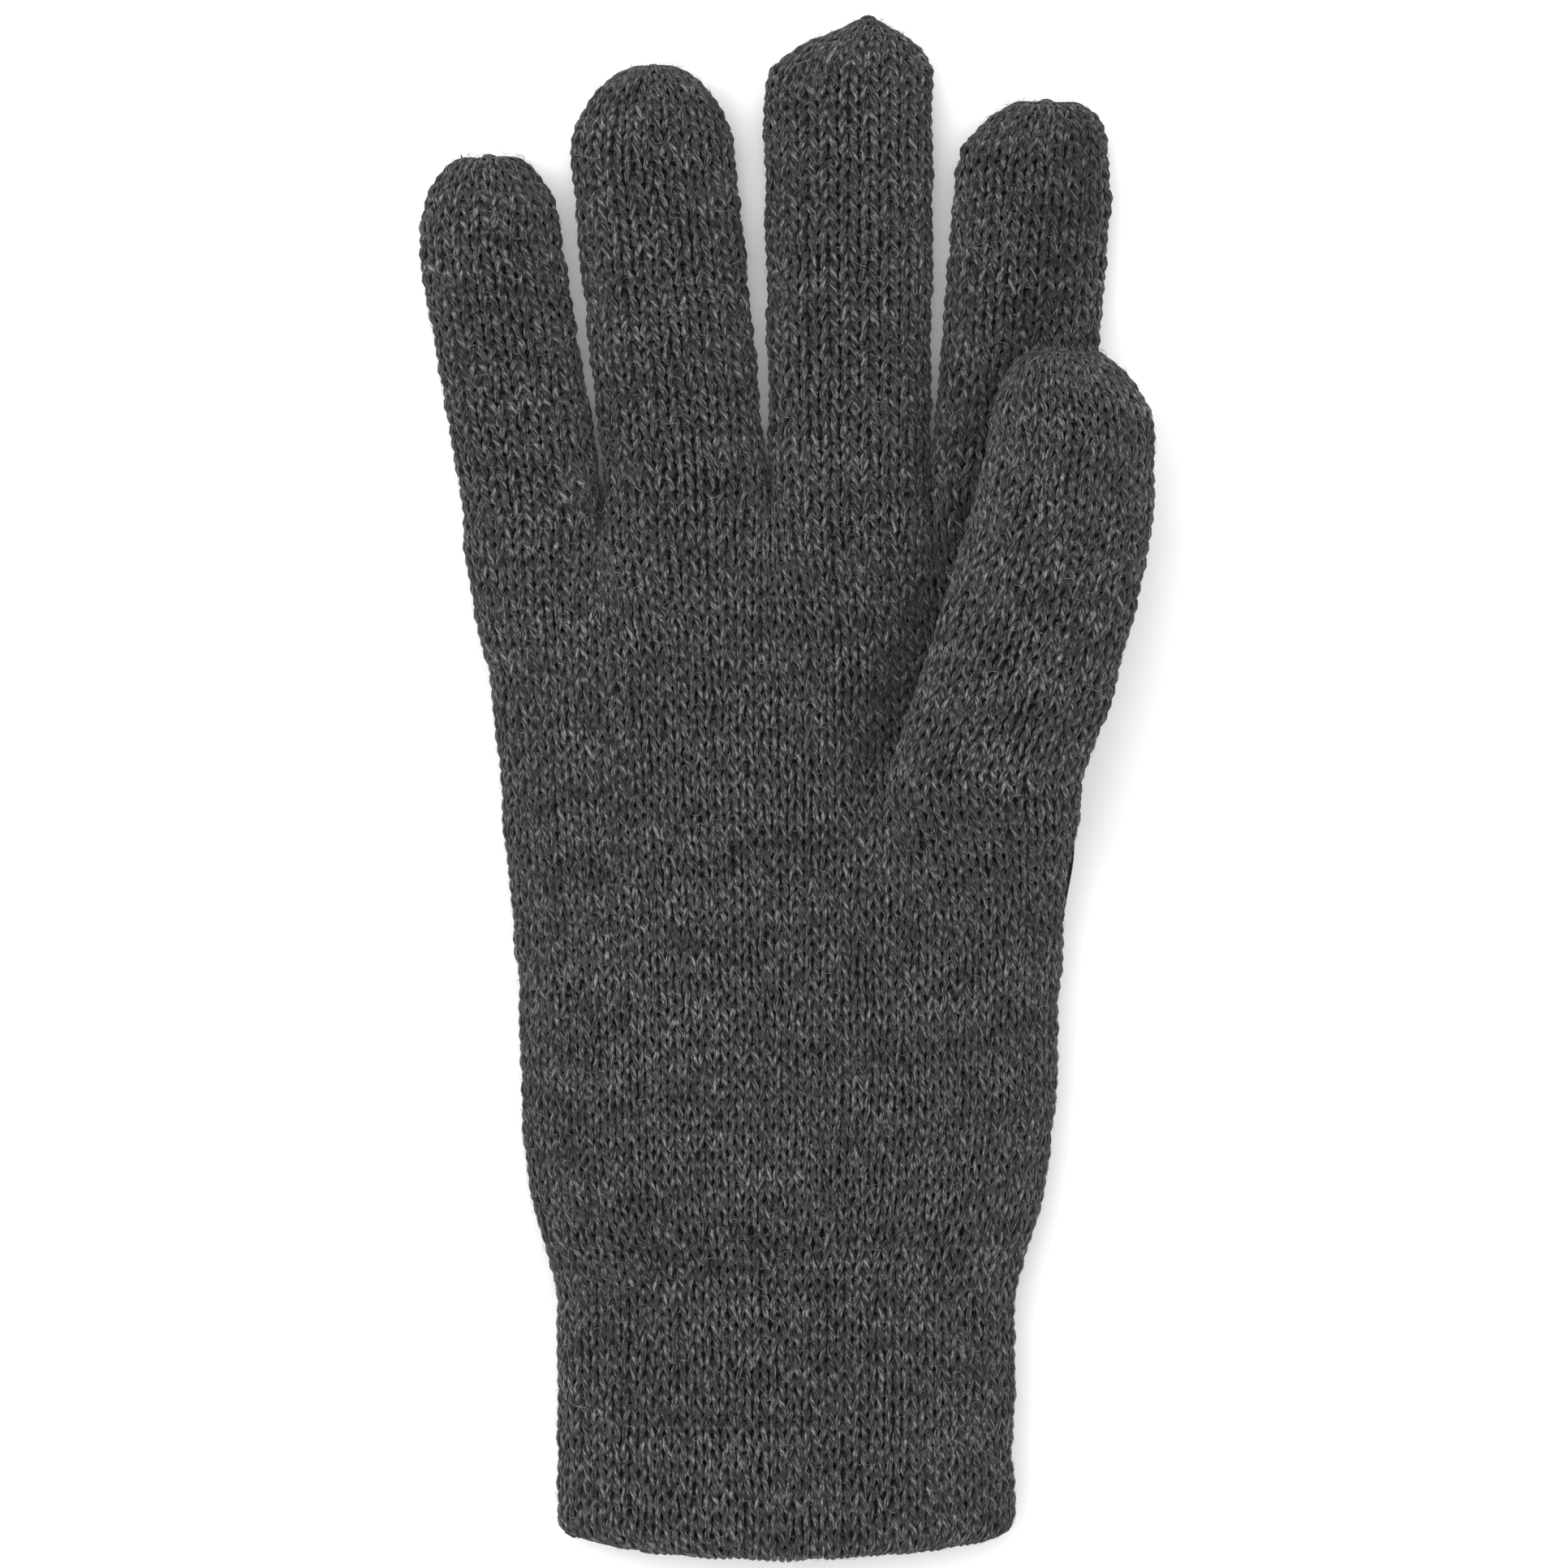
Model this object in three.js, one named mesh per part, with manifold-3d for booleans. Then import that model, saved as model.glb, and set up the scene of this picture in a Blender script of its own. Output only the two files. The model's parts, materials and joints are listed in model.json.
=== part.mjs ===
// Right-hand knitted glove lying on its back, palm up: fingers toward +Y, thumb toward +X,
// resting on z = 0. Units are millimetres.
// The hand, every finger tube, the thumb and the turned cuff are hollow shells of knit fabric.
// A finger tube is split where the finger bends, so that each length is a body of its own.

import * as THREE from 'three';
import { mergeVertices } from 'three/addons/utils/BufferGeometryUtils.js';
import Module from 'manifold-3d';

const wasm = await Module();
wasm.setup();

// ---- driving dimensions -------------------------------------------------------------------

const FABRIC = 2.2; // thickness of one layer of the knit
const GAP = 0.3; // clearance between touching pieces
const JOINT_GAP = 0.5; // from a hinge axis to the end of the tube on each side of it
const SIDES = 24; // corners round a tube section
const AXIS_SHARE = 0.71; // height of a finger's hinge axis, as a share of its thickness
const FLATTEN = 1.06; // how far a section's arc is pushed past its top and bottom, which flattens them
const EDGE_RISE = 0.5; // past the palm's edge its height stays at this share of the half thickness
const BEYOND = 90; // farther from the middle than any part of the glove, for the cutting boxes

const HAND = {
  wristEnd: -72.4, // where the hand tube meets the gathered wrist rounds
  squareness: 3.4, // how box-like the flattened section is
  palmSetBack: 4.6, // the palm side stops this far before the little finger's knuckle
  // y, left edge, right edge, thickness of the flattened tube
  stations: [
    [-72.4, -43.4, 44.0, 20],
    [-57, -44.8, 46.6, 20],
    [-32, -45.4, 47.2, 20],
    [-6, -47.8, 49.0, 20],
    [16, -49.6, 50.4, 19],
    [34, -51.6, 51.6, 16.5],
    [44.6, -53.4, 52.2, 14.6],
    [48, -53.8, 52.3, 14.2],
    [52, -54.2, 52.4, 14],
  ],
};

// Centre line from the crotch level to the tip, widths, thickness and the three hinge levels.
const FINGERS = [
  {
    name: 'little',
    base: [-42.9, 45.5],
    tip: [-53.0, 107.3],
    width: [23.8, 24.6],
    thick: 13,
    hinges: [49.5, 71.5, 89.0],
  },
  {
    name: 'ring',
    base: [-16.7, 51],
    tip: [-24.2, 122.8],
    width: [27.6, 28.0],
    thick: 14,
    hinges: [52.5, 79.0, 100.5],
  },
  {
    name: 'middle',
    base: [11.3, 51],
    tip: [11.0, 131.2],
    width: [27.0, 29.0],
    thick: 14,
    hinges: [52.5, 81.5, 105.5],
  },
  {
    name: 'index',
    base: [38.7, 51],
    tip: [44.0, 116.8],
    width: [26.4, 26.6],
    thick: 14,
    hinges: [52.5, 80.5, 99.5],
  },
];
const FINGER_SQUARENESS = 2.6;
const WEB = { thick: 2.4, length: 5, setBack: 5 }; // the set-back is from the nearer knuckle

// How a tube rounds off at its tip: over what length, through what angle in radians, in how many
// steps, how fast its thickness and width fall with that angle, and how far the underside lifts.
const TIP = { length: 14, turn: 1.25, steps: 5, flatten: 0.8, narrow: 0.9, lift: 0.45 };
const CLOSURE = { thick: 1.2, stem: 1.4, sides: 12, topShare: 0.85, edgeShare: 0.7 };

// The thumb lies over the palm and the root of the index finger: y, centre x, width, underside, thickness.
const THUMB = {
  squareness: 2.5,
  sections: [
    [1.2, 34.2, 32.6, 20.8, 14],
    [12, 37.9, 33, 20.8, 15],
    [28, 42.8, 32.6, 20.6, 15.2],
    [44, 47.0, 30.8, 19.0, 15],
    [60, 49.3, 27.4, 16.6, 14],
  ],
  tip: [47.6, 72.8],
  hinges: [1.0, 12.3, 43.7],
  lowerMiddle: 28,
  roundFrom: 60,
};
const THUMB_HOLE = { x: [25, 44], y: [-19, -2], z: [12, 30] };
const GUSSET = {
  rearX: 31,
  rearY: -30,
  rearWidth: 20,
  rearHeight: 3,
  frontHeight: 15,
  steps: 5,
  arcPoints: 12,
  fullness: 0.7, // below 1 the arch is fuller than a half circle
  innerDrop: 0.8, // how much of the fabric's thickness the inner arch lies lower
};

const CUFF = {
  top: -81.4,
  layer: 2.0,
  between: 1.4, // space between the two layers, where the elastic threads lie
  hemStart: -125.9,
  bow: -4.2, // how far the hem bulges at its middle
  bowGrowth: 3, // the power by which that bulge grows toward the hem
  squareness: 3.2,
  stations: [
    [-125.9, -38.9, 39.5, 18.6],
    [-106, -38.5, 39.0, 19],
    [-90, -39.2, 40.0, 19.4],
    [-81.4, -41.0, 42.0, 20],
  ],
  middles: [-118, -106, -90],
  // The fold at the mouth, from its lowest ring up: drop below hemStart, inset from the outer face.
  fold: [
    { drop: 2.6, outer: 1.3, inner: 1.3 },
    { drop: 1.4, outer: 0.4, inner: 0.4 },
    { drop: GAP, outer: 0, inner: 0 },
  ],
  threads: [-88, -98, -108, -118],
  threadSize: 0.8,
};
const BAND_INSET = 0.4; // the gathered rounds lie this much inside the hand and the cuff

const KNIT = new THREE.MeshStandardMaterial({ color: 0x474747, roughness: 0.95, metalness: 0 });
const KNIT_DARK = new THREE.MeshStandardMaterial({ color: 0x2e2e2e, roughness: 0.95, metalness: 0 });
const ELASTIC = new THREE.MeshStandardMaterial({ color: 0x1c1c1c, roughness: 0.7, metalness: 0 });

// ---- sections and shells --------------------------------------------------------------------

const mix = (a, b, t) => a + (b - a) * t;
const clamp = (v, lo, hi) => Math.min(hi, Math.max(lo, v));
const power = (v, p) => Math.sign(v) * Math.abs(v) ** p;
const count = (n) => Array.from({ length: n }, (_, i) => i);
const SHARES = count(SIDES).map((i) => i / SIDES);

// A section is {y, x, width, under, thick, squareness, bow}: a flattened tube standing at one y.
function sectionPoint(section, share, inset) {
  const angle = share * 2 * Math.PI;
  const p = 2 / section.squareness;
  const across = power(Math.cos(angle), p);
  const up = clamp(power(Math.sin(angle), p) * FLATTEN, -1, 1);
  const bow = (section.bow ?? 0) * (1 - across * across);
  return new THREE.Vector3(
    section.x + (section.width / 2 - inset) * across,
    section.y + bow,
    section.under + section.thick / 2 + (section.thick / 2 - inset) * up,
  );
}

// Joins rows of points into one closed skin: every row is a closed loop of the same length,
// and the rows themselves close on each other.
function closedRows(rows) {
  const length = rows[0].length;
  const geometry = new THREE.BufferGeometry();
  geometry.setFromPoints(rows.flat());
  const index = [];
  rows.forEach((row, r) => {
    const next = ((r + 1) % rows.length) * length;
    row.forEach((_, i) => {
      const a = r * length + i;
      const b = r * length + ((i + 1) % length);
      const c = next + ((i + 1) % length);
      const d = next + i;
      index.push(a, c, b, a, d, c);
    });
  });
  geometry.setIndex(index);
  return geometry;
}

// An open tube of fabric: the outer skin runs forward along y, the inner skin comes back.
function tube(sections, wall) {
  const skin = (inset) => sections.map((s) => SHARES.map((t) => sectionPoint(s, t, inset)));
  return closedRows([...skin(0), ...skin(wall).reverse()]);
}

// One half of a tube, above or below its middle: each row is the outer arc and the inner arc back.
function halfTube(sections, wall, above) {
  const half = SIDES / 2;
  const from = above ? 0 : half;
  const shares = count(half + 1).map((i) => (from + i) / SIDES);
  const rows = sections.map((s) => {
    const middle = s.under + s.thick / 2;
    const trim = (point) => {
      point.z = above ? Math.max(point.z, middle + GAP / 2) : Math.min(point.z, middle - GAP / 2);
      return point;
    };
    const outer = shares.map((t) => trim(sectionPoint(s, t, 0)));
    const inner = shares.map((t) => trim(sectionPoint(s, t, wall)));
    return [...outer, ...inner.reverse()];
  });
  return cappedRows(rows);
}

// A solid between the first row and the last, each row a closed outline; both ends are capped.
// The outlines are strips, so point i faces point length - 1 - i and the caps are ladders.
function cappedRows(rows) {
  const length = rows[0].length;
  const geometry = new THREE.BufferGeometry();
  geometry.setFromPoints(rows.flat());
  const index = [];
  for (let r = 0; r + 1 < rows.length; r += 1) {
    for (let i = 0; i < length; i += 1) {
      const a = r * length + i;
      const b = r * length + ((i + 1) % length);
      index.push(a, b + length, b, a, a + length, b + length);
    }
  }
  const last = (rows.length - 1) * length;
  for (let i = 0; i + 1 < length / 2; i += 1) {
    const j = length - 1 - i;
    index.push(i, j - 1, j, i, i + 1, j - 1);
    index.push(last + i, last + j, last + j - 1, last + i, last + j - 1, last + i + 1);
  }
  geometry.setIndex(index);
  return geometry;
}

// ---- boolean cuts ----------------------------------------------------------------------------

function toSolid(geometry) {
  const bare = geometry.clone();
  bare.deleteAttribute('normal');
  bare.deleteAttribute('uv');
  const merged = mergeVertices(bare);
  return new wasm.Manifold(new wasm.Mesh({
    numProp: 3,
    vertProperties: Float32Array.from(merged.attributes.position.array),
    triVerts: Uint32Array.from(merged.index.array),
  }));
}

function toGeometry(solid) {
  const mesh = solid.getMesh();
  const geometry = new THREE.BufferGeometry();
  geometry.setAttribute('position', new THREE.BufferAttribute(mesh.vertProperties, 3));
  geometry.setIndex(new THREE.BufferAttribute(mesh.triVerts, 1));
  return geometry;
}

function boxBetween(low, high) {
  const size = high.map((v, i) => v - low[i]);
  const box = new THREE.BoxGeometry(...size);
  box.translate(...low.map((v, i) => v + size[i] / 2));
  return box;
}

const cut = (geometry, cutter) => toGeometry(toSolid(geometry).subtract(toSolid(cutter)));

// ---- pieces ------------------------------------------------------------------------------------

const glove = new THREE.Group();

function addPiece(name, geometry, material = KNIT) {
  const mesh = new THREE.Mesh(geometry, material);
  mesh.name = name;
  glove.add(mesh);
}

// Reads a table of [y, left, right, thickness] rows, which rise in y, as a section at any y.
function sectionBetween(table, y, squareness) {
  const last = table.length - 1;
  const row = clamp(table.findIndex((r) => r[0] >= y), 1, last);
  const [a, b] = [table[row - 1], table[row]];
  const t = (y - a[0]) / (b[0] - a[0]);
  const [left, right, thick] = [1, 2, 3].map((k) => mix(a[k], b[k], t));
  return { y, x: (left + right) / 2, width: right - left, under: 0, thick, squareness };
}

const handSection = (y) => sectionBetween(HAND.stations, y, HAND.squareness);
const cuffSection = (y) => sectionBetween(CUFF.stations, y, CUFF.squareness);

// Height of the palm's outer surface at a place on it.
function palmHeight(x, y) {
  const s = handSection(y);
  const across = clamp(Math.abs(x - s.x) / (s.width / 2), 0, 1);
  const angle = Math.acos(across ** (s.squareness / 2));
  const up = clamp(Math.sin(angle) ** (2 / s.squareness) * FLATTEN, EDGE_RISE, 1);
  return s.thick / 2 + (s.thick / 2) * up;
}

function addHand() {
  const [little, ring] = FINGERS;
  const rows = HAND.stations.map((row) => handSection(row[0]));
  const reach = rows.length - 1;
  // The palm side stops short of the knuckle hinges, where a bent finger needs the room.
  const palmRows = rows.slice(0, reach);
  const littleStep = boxBetween(
    [-BEYOND, little.hinges[0] - HAND.palmSetBack, -1],
    [(little.base[0] + little.width[0] / 2 + ring.base[0] - ring.width[0] / 2) / 2, BEYOND, BEYOND],
  );
  const { x, y, z } = THUMB_HOLE;
  const hole = boxBetween([x[0], y[0], z[0]], [x[1], y[1], z[1]]);
  const palm = cut(cut(halfTube(palmRows, FABRIC, true), littleStep), hole);
  addPiece('hand_palm_side', palm);
  const backStep = littleStep.clone().translate(0, HAND.palmSetBack - JOINT_GAP, 0);
  addPiece('hand_back_side', cut(halfTube(rows, FABRIC, false), backStep));
}

// Webs that join the palm layer to the back layer between two finger openings.
function addCrotchWebs() {
  for (let i = 0; i + 1 < FINGERS.length; i += 1) {
    const [a, b] = [FINGERS[i], FINGERS[i + 1]];
    const x = (a.base[0] + a.width[0] / 2 + b.base[0] - b.width[0] / 2) / 2;
    const end = Math.min(a.hinges[0], b.hinges[0]) - WEB.setBack;
    const start = end - WEB.length;
    const room = Math.min(handSection(start).thick, handSection(end).thick);
    const web = boxBetween(
      [x - WEB.thick / 2, start, FABRIC + GAP],
      [x + WEB.thick / 2, end, room - FABRIC - GAP],
    );
    addPiece(`${a.name}_${b.name}_crotch_web`, web);
  }
}

function fingerSection(finger, y) {
  const t = (y - finger.base[1]) / (finger.tip[1] - finger.base[1]);
  return {
    y,
    x: mix(finger.base[0], finger.tip[0], t),
    width: mix(finger.width[0], finger.width[1], Math.min(t, 1)),
    under: 0,
    thick: finger.thick,
    squareness: FINGER_SQUARENESS,
  };
}

// Sections that round off toward a tip; the underside lifts a little off the table at the very end.
function roundedTip(start, [tipX, tipY]) {
  return count(TIP.steps).map((k) => {
    const angle = (TIP.turn * (k + 1)) / TIP.steps;
    const share = Math.sin(angle) / Math.sin(TIP.turn);
    const thick = start.thick * Math.cos(angle) ** TIP.flatten;
    return {
      ...start,
      y: mix(start.y, tipY, share),
      x: mix(start.x, tipX, share),
      width: start.width * Math.cos(angle) ** TIP.narrow,
      under: start.under + (start.thick - thick) * TIP.lift,
      thick,
    };
  });
}

// The last loops of a tube are drawn together on the yarn's end: a small gathered button.
function addClosure(name, section) {
  const radius = Math.min(section.width, section.thick) / 2 - GAP;
  const stem = Math.min(section.width, section.thick) / 2 - FABRIC - GAP;
  const profile = [
    [0, -CLOSURE.stem],
    [stem, -CLOSURE.stem],
    [stem, GAP],
    [radius, GAP],
    [radius * CLOSURE.topShare, GAP + CLOSURE.thick * CLOSURE.edgeShare],
    [0, GAP + CLOSURE.thick],
  ].map(([r, h]) => new THREE.Vector2(r, h));
  const button = mergeVertices(stripped(new THREE.LatheGeometry(profile, CLOSURE.sides)));
  button.translate(section.x, section.y, section.under + section.thick / 2);
  addPiece(name, button, KNIT_DARK);
}

function stripped(geometry) {
  geometry.deleteAttribute('normal');
  geometry.deleteAttribute('uv');
  return geometry;
}

// Room on the palm side of a hinge for the tube beyond it to turn up through a right angle.
function knuckleRoom(hingeY, axisZ, topZ) {
  const rear = hingeY - (topZ - axisZ) - JOINT_GAP;
  return boxBetween([-BEYOND, rear, axisZ - GAP], [BEYOND, hingeY + BEYOND, topZ + BEYOND]);
}

function addFinger(finger) {
  const [knuckle, middle, end] = finger.hinges;
  const axisZ = finger.thick * AXIS_SHARE;
  const at = (y) => fingerSection(finger, y);
  const lengths = [
    ['proximal', knuckle, middle],
    ['middle', middle, end],
  ];
  lengths.forEach(([part, from, to]) => {
    const sections = [from + JOINT_GAP, (from + to) / 2, to - JOINT_GAP].map(at);
    const room = knuckleRoom(to, axisZ, finger.thick);
    addPiece(`${finger.name}_${part}_tube`, cut(tube(sections, FABRIC), room));
  });
  const roundStart = at(finger.tip[1] - TIP.length);
  const rounding = roundedTip(roundStart, finger.tip);
  addPiece(`${finger.name}_tip_tube`, tube([at(end + JOINT_GAP), roundStart, ...rounding], FABRIC));
  addClosure(`${finger.name}_tip_closure`, rounding.at(-1));
}

function thumbSection(y) {
  const table = THUMB.sections;
  const row = clamp(table.findIndex((r) => r[0] >= y), 1, table.length - 1);
  const [a, b] = [table[row - 1], table[row]];
  const t = (y - a[0]) / (b[0] - a[0]);
  const [x, width, under, thick] = [1, 2, 3, 4].map((k) => mix(a[k], b[k], t));
  return { y, x, width, under, thick, squareness: THUMB.squareness };
}

function addThumb() {
  const [, swing, bend] = THUMB.hinges;
  const base = [THUMB.sections[0][0], swing - GAP].map(thumbSection);
  addPiece('thumb_base_tube', tube(base, FABRIC));
  const lower = [swing + GAP, THUMB.lowerMiddle, bend - JOINT_GAP].map(thumbSection);
  const top = thumbSection(bend);
  const axisZ = top.under + top.thick * AXIS_SHARE;
  const room = knuckleRoom(bend, axisZ, top.under + top.thick);
  addPiece('thumb_lower_tube', cut(tube(lower, FABRIC), room));
  const roundStart = thumbSection(THUMB.roundFrom);
  const rounding = roundedTip(roundStart, THUMB.tip);
  addPiece('thumb_tip_tube', tube([thumbSection(bend + JOINT_GAP), roundStart, ...rounding], FABRIC));
  addClosure('thumb_tip_closure', rounding.at(-1));
}

// An arch that climbs from the palm to the thumb; it stands on the palm round the thumb hole.
function addThumbGusset() {
  const front = thumbSection(THUMB.sections[0][0]);
  const rows = count(GUSSET.steps + 1).map((k) => {
    const t = k / GUSSET.steps;
    const y = mix(GUSSET.rearY, THUMB.hinges[0] - GAP, t);
    const x = mix(GUSSET.rearX, front.x, t);
    const width = mix(GUSSET.rearWidth, front.width, Math.sqrt(t));
    const height = mix(GUSSET.rearHeight, GUSSET.frontHeight, t * t * (3 - 2 * t));
    const arc = (inset) => count(GUSSET.arcPoints + 1).map((i) => {
      const angle = (i / GUSSET.arcPoints) * Math.PI;
      const px = x + (width / 2 - inset) * Math.cos(angle);
      const foot = palmHeight(px, y) + 2 * GAP;
      const lift = (height - inset * GUSSET.innerDrop) * Math.sin(angle) ** GUSSET.fullness;
      return new THREE.Vector3(px, y, foot + Math.max(lift, 0));
    });
    return [...arc(0), ...arc(FABRIC).reverse()];
  });
  addPiece('thumb_gusset', cappedRows(rows));
}

function cuffRing(fromY, toY, inset, wall, middleYs = []) {
  const ys = [fromY, ...middleYs, toY];
  const sections = ys.map((y) => {
    const s = cuffSection(y);
    const share = clamp((y - CUFF.top) / (CUFF.hemStart - CUFF.top), 0, 1);
    return {
      ...s,
      width: s.width - 2 * inset,
      under: inset,
      thick: s.thick - 2 * inset,
      bow: CUFF.bow * share ** CUFF.bowGrowth,
    };
  });
  return tube(sections, wall);
}

function addCuff() {
  const bottom = CUFF.hemStart;
  const inner = CUFF.layer + CUFF.between;
  addPiece('cuff_outer_layer', cuffRing(bottom, CUFF.top, 0, CUFF.layer, CUFF.middles));
  addPiece('cuff_inner_layer', cuffRing(bottom, CUFF.top, inner, CUFF.layer, CUFF.middles));
  CUFF.threads.forEach((y, i) => {
    const inset = CUFF.layer + (CUFF.between - CUFF.threadSize) / 2;
    const ring = cuffRing(y - CUFF.threadSize / 2, y + CUFF.threadSize / 2, inset, CUFF.threadSize);
    addPiece(`cuff_elastic_thread_${i + 1}`, ring, ELASTIC);
  });
  // The fold at the mouth wraps round both layers: widest where it meets them, drawn in below.
  const s = cuffSection(bottom);
  const total = inner + CUFF.layer;
  const ring = ({ drop }, inset) => {
    const section = { ...s, y: bottom - drop, bow: CUFF.bow };
    return SHARES.map((t) => sectionPoint(section, t, inset));
  };
  const outside = CUFF.fold.map((step) => ring(step, step.outer));
  const inside = [...CUFF.fold].reverse().map((step) => ring(step, total - step.inner));
  addPiece('cuff_hem_fold', closedRows([...outside, ...inside]));
}

// Gathered rounds where the hand narrows into the cuff; this soft band gives when the wrist bends.
function addWristBand() {
  const handEnd = handSection(HAND.wristEnd);
  const cuffEnd = cuffSection(CUFF.top);
  const shrink = (s, y) => ({
    ...s,
    y,
    width: s.width - 2 * BAND_INSET,
    under: BAND_INSET,
    thick: s.thick - 2 * BAND_INSET,
  });
  const sections = [shrink(cuffEnd, CUFF.top + GAP), shrink(handEnd, HAND.wristEnd - GAP)];
  addPiece('wrist_gathered_band', tube(sections, FABRIC));
}

addHand();
addCrotchWebs();
FINGERS.forEach(addFinger);
addThumbGusset();
addThumb();
addWristBand();
addCuff();

export default glove;
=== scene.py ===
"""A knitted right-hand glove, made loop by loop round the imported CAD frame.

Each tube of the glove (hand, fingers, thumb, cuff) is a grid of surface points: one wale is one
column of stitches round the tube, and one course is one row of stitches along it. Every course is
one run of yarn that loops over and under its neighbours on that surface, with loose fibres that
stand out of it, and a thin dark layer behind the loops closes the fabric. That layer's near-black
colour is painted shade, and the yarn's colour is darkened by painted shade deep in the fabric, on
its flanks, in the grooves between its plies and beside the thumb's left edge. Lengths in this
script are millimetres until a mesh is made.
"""

import json
import math

import bpy
import numpy as np
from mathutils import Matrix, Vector


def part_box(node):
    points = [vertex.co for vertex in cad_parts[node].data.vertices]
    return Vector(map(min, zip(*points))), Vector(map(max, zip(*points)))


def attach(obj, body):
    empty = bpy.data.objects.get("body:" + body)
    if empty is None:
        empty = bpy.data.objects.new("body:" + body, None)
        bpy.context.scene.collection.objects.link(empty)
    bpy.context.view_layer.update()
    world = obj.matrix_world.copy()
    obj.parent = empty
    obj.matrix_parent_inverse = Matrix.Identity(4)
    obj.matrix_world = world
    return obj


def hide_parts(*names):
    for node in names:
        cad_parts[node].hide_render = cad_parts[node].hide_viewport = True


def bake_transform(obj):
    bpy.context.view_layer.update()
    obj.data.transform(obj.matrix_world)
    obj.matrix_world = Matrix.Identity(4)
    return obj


MM = 0.001
rng = np.random.default_rng(7)

# ---- the knit ------------------------------------------------------------------------------------

COLUMNS = 4  # grid columns in one wale
ROWS = 2  # grid rows in one course
SURFACE = -0.55  # the middle of the fabric, from the CAD surface
GROUND = (-0.5, -1.2)  # outer and inner face of the dark layer (painted shade), from the middle of the fabric
WAVINESS = 0.22  # of the fabric as a whole
WAVE_SIZES = (17.0, 11.0, 7.0)

LOOP_STEPS = 13  # yarn sections in one stitch
LOOP_SWAY = 0.24  # how far the legs of a loop lean, in wales
LOOP_HEIGHT = 1.85  # in courses, so that each loop hangs in the one below it
LOOP_DEPTH = 0.44  # how far the legs stand in front of the middle of the fabric
LOOP_TUCK = 0.2  # how far a loop's head lies behind its feet, from the middle of the two
YARN_SIDES = 6
YARN_WIDE = 0.53  # half the yarn's width along the fabric, where a leg is plumpest
YARN_DEEP = 0.44  # half its width through the fabric there
YARN_NECK = 0.62  # as a share of that, where a loop turns behind its neighbours
NOMINAL_WALE = 2.6  # a stitch of this width has yarn of its full thickness
CROWDING = (0.4, 1.15)  # the least and the most of it that a narrower or wider stitch has

# How uneven the stitches are: the spread of each stitch's place, lean and thickness.
ASIDE_SPREAD = 0.055  # in wales
ALONG_SPREAD = 0.1  # in courses
OUTWARD_SPREAD = 0.12
LEAN_SPREAD = 0.15
SIZE_SPREAD = 0.11
SIZE_RANGE = (0.75, 1.3)

# Painted shade in the yarn's colour, as if light fell into the fabric: none at DARK_DEPTH, all of it
# above LIT_DEPTH, and less on a flank.
DARK_DEPTH = -0.75
LIT_DEPTH = 0.35
FLANK_DARKNESS = 1.1

FUZZ = 1.2  # loose fibres for each stitch
BACK_FUZZ = 1.0  # and on the back of the hand
FIBRE_LENGTH = (1.0, 2.8)
FIBRE_RISE = (0.1, 0.6)
FIBRE_FOOT = 0.55  # how far its foot lies in front of the middle of the fabric
FIBRE_BEND = 0.9  # the spread of their turn from end to end, in radians
FIBRE_RADIUS = 0.04

RUN_SPREAD = 0.13  # of the tone that changes slowly along the yarn
STITCH_SPREAD = 0.05  # and of the tone of single stitches
YARN_SLOT, SHADE_SLOT, FIBRE_SLOT = range(3)  # the materials of a knitted piece

# ---- the glove: wales and courses, from the stitches' spacing in the photo -----------------------

WALES = {"little": 9, "ring": 10, "middle": 10, "index": 10}  # on the palm side of each finger
THUMB_WALES = 12
CUFF_WALES = 31
HAND_WALES = sum(WALES.values())
COURSE = {"hand": 2.4, "finger": 2.2, "thumb": 2.39, "cuff": 2.5}  # the length of one course
HAND_SQUARENESS = 3.2  # of a section: 2 is an ellipse
FINGER_SQUARENESS = 2.5
CUFF_SQUARENESS = 3.2

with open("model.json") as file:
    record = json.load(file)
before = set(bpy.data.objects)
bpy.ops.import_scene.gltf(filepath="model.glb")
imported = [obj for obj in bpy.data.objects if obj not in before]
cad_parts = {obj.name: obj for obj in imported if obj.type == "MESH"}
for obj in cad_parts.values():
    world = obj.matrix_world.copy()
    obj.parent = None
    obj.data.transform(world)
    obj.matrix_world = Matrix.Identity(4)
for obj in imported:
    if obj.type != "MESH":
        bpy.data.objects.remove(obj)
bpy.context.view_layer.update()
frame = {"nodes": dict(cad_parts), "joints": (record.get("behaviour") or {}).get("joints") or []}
joints = {j["name"]: j for j in frame["joints"]}


def smooth(t):
    t = np.clip(t, 0, 1)
    return t * t * (3 - 2 * t)


def mix(a, b, t):
    return a + (b - a) * t


def hinge(name):
    """A joint's point, in millimetres."""
    return np.array(joints[name]["pos_m"]) / MM


# ---- reading the frame ---------------------------------------------------------------------------


def triangles(*nodes):
    """The corners of every triangle of some CAD nodes, (n, 3, 3)."""
    parts = []
    for node in nodes:
        mesh = frame["nodes"][node].data
        mesh.calc_loop_triangles()
        co = np.empty(len(mesh.vertices) * 3, np.float32)
        mesh.vertices.foreach_get("co", co)
        index = np.empty(len(mesh.loop_triangles) * 3, np.int32)
        mesh.loop_triangles.foreach_get("vertices", index)
        parts.append(co.reshape(-1, 3)[index].reshape(-1, 3, 3) / MM)
    return np.concatenate(parts).astype(float)


def slice_box(corners, y):
    """Left, right, low and high of what a plane across the glove at y cuts."""
    found = []
    for i, j in ((0, 1), (1, 2), (2, 0)):
        p, q = corners[:, i], corners[:, j]
        cuts = (p[:, 1] - y) * (q[:, 1] - y) < 0
        p, q = p[cuts], q[cuts]
        t = (y - p[:, 1]) / (q[:, 1] - p[:, 1])
        found.append(p + (q - p) * t[:, None])
    cut = np.concatenate(found)
    return [cut[:, 0].min(), cut[:, 0].max(), cut[:, 2].min(), cut[:, 2].max()]


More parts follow.
